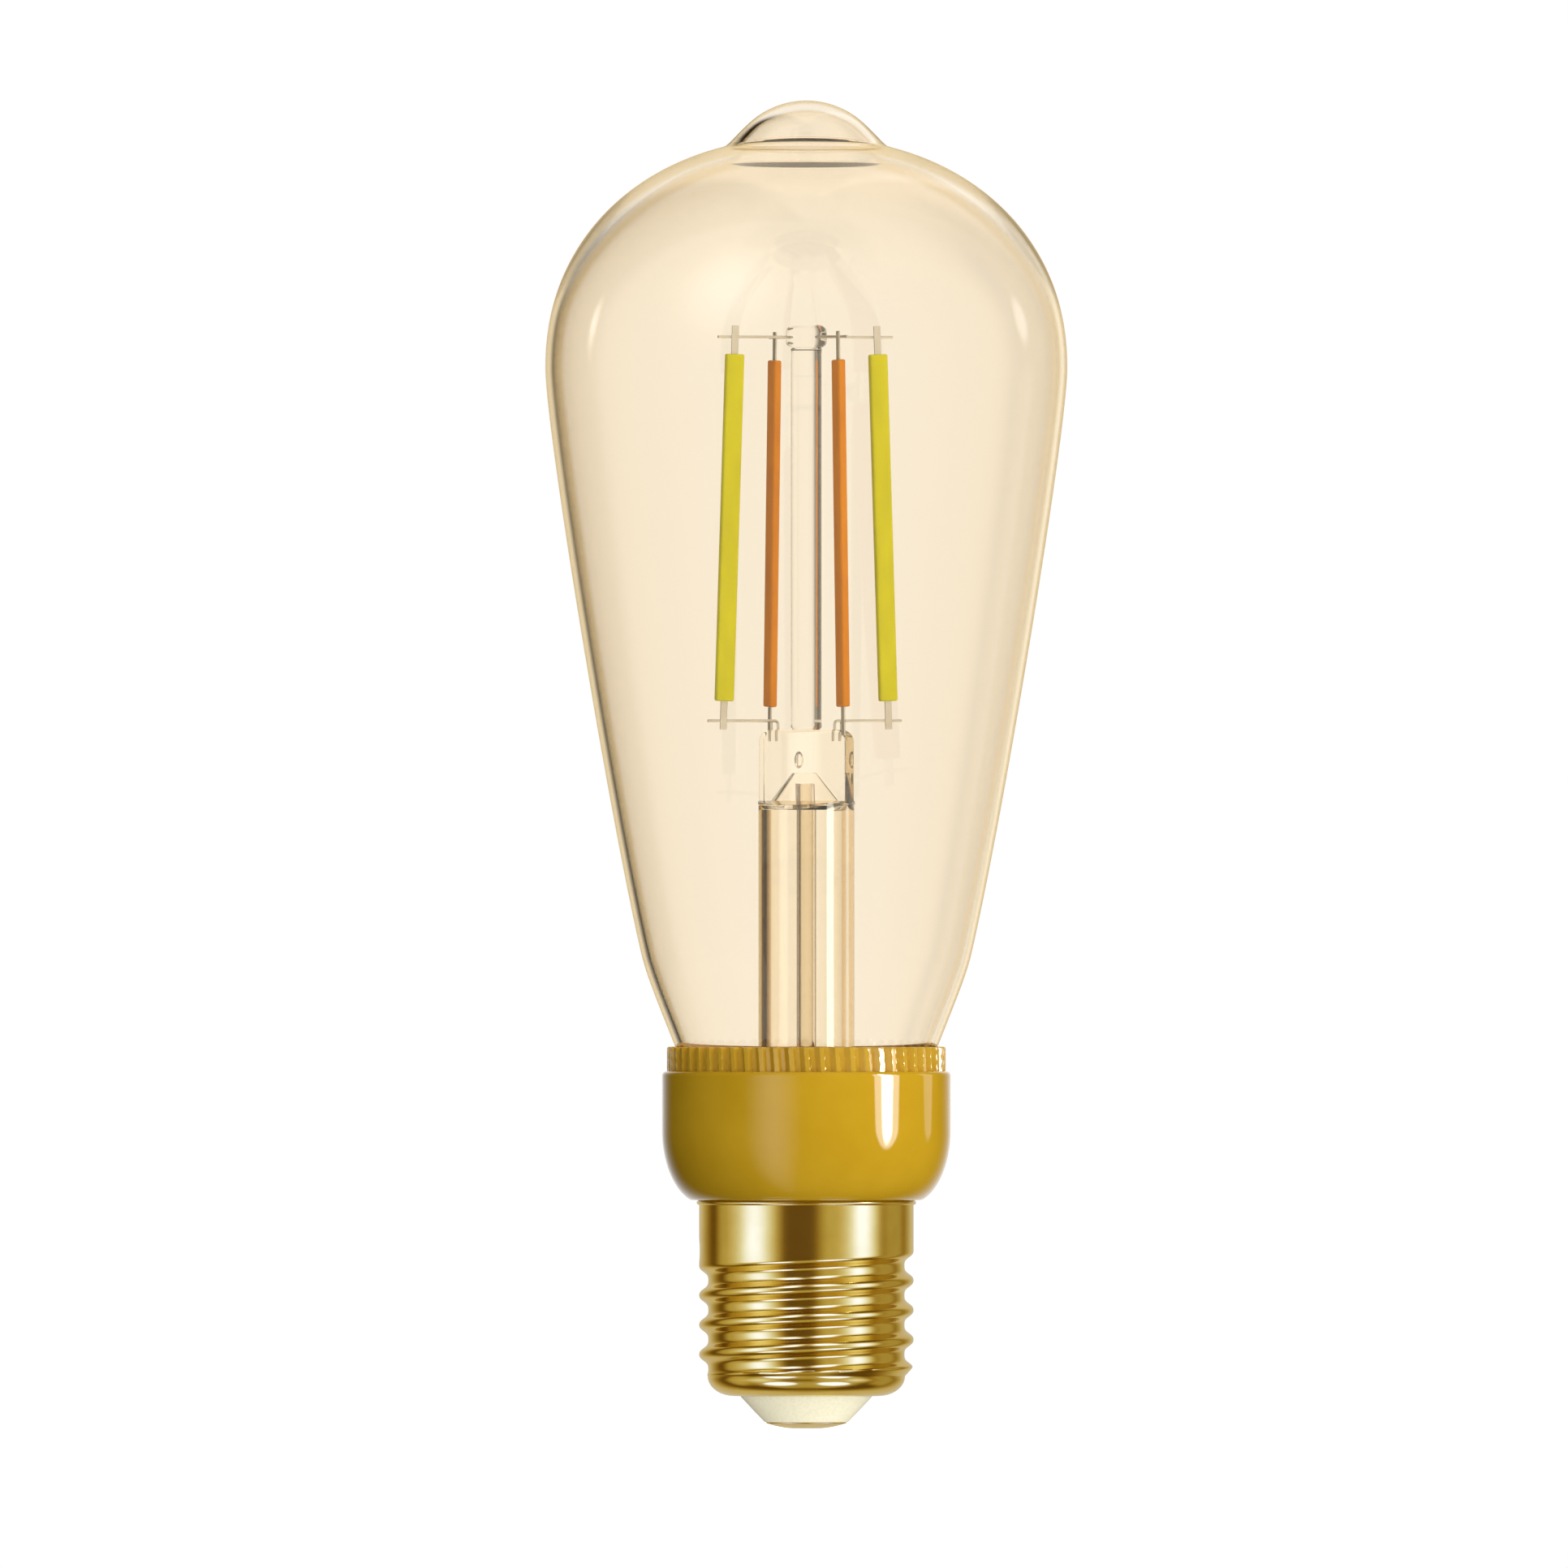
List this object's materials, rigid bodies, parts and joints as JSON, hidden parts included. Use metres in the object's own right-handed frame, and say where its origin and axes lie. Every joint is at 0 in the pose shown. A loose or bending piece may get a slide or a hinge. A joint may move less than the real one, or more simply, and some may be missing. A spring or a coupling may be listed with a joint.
{
  "type": "smart light bulb",
  "caption": "Screw-in smart filament lamp: pear-shaped amber glass with upright filaments on a glass stem, a gold collar and a brass cap with a screw thread.",
  "frame": {"origin": "on the lamp's axis at the lowest point of the centre contact, where it meets a lampholder", "axes": "+Z along the lamp's axis from the centre contact to the glass tip; -Y towards the front, +X to the right"},
  "size_m": [0.064, 0.064, 0.1628],
  "materials": {
    "amber_glass": "clear, lightly amber-tinted blown glass",
    "clear_glass": "clear drawn glass",
    "nickel_wire": "drawn nickel-plated wire and flat tab",
    "yellow_phosphor": "satin phosphor-filled silicone, yellow",
    "orange_phosphor": "satin phosphor-filled silicone, orange",
    "ceramic_strip": "sintered white ceramic",
    "led_die": "polished die",
    "ring_plastic": "moulded, glossy ochre",
    "collar_plastic": "moulded, glossy mustard",
    "cement": "cured adhesive, matt",
    "gold_brass": "bright rolled brass",
    "cream_insulator": "smooth pressed insulator, cream",
    "contact_brass": "stamped brass",
    "circuit_board": "solder-masked glass-epoxy board",
    "capacitor_sleeve": "shrink-sleeved aluminium can",
    "ferrite": "sintered ferrite under a shrink sleeve",
    "black_epoxy": "moulded epoxy",
    "resistor_lacquer": "lacquered",
    "shield_steel": "tin-plated sheet",
    "wire_red": "insulated lead",
    "wire_blue": "insulated lead"
  },
  "bodies": {
    "root": {"glass_envelope": "amber_glass", "glass_stem": "clear_glass", "exhaust_tube": "clear_glass", "support_rod": "clear_glass", "top_wire_cool_left": "nickel_wire", "top_wire_cool_right": "nickel_wire", "top_wire_warm_left": "nickel_wire", "top_wire_warm_right": "nickel_wire", "lead_wire_cool_left": "nickel_wire", "lead_wire_cool_right": "nickel_wire", "lead_wire_warm_left": "nickel_wire", "lead_wire_warm_right": "nickel_wire", "filament_cool_left": "yellow_phosphor", "filament_cool_right": "yellow_phosphor", "filament_warm_left": "orange_phosphor", "filament_warm_right": "orange_phosphor", "filament_strips": "ceramic_strip", "filament_tabs_top": "nickel_wire", "filament_tabs_low": "nickel_wire", "dies_cool": "led_die", "dies_warm": "led_die", "toothed_ring": "ring_plastic", "base_collar": "collar_plastic", "neck_cement": "cement", "screw_shell": "gold_brass", "cap_insulator": "cream_insulator", "center_contact": "contact_brass", "driver_board": "circuit_board", "bulk_capacitor": "capacitor_sleeve", "power_inductor": "ferrite", "bridge_rectifier": "black_epoxy", "fuse_resistor": "resistor_lacquer", "led_driver_chips": "black_epoxy", "radio_board": "circuit_board", "radio_shield": "shield_steel", "radio_pins": "contact_brass", "live_wire": "wire_red", "neutral_wire": "wire_blue"}
  },
  "joints": []
}
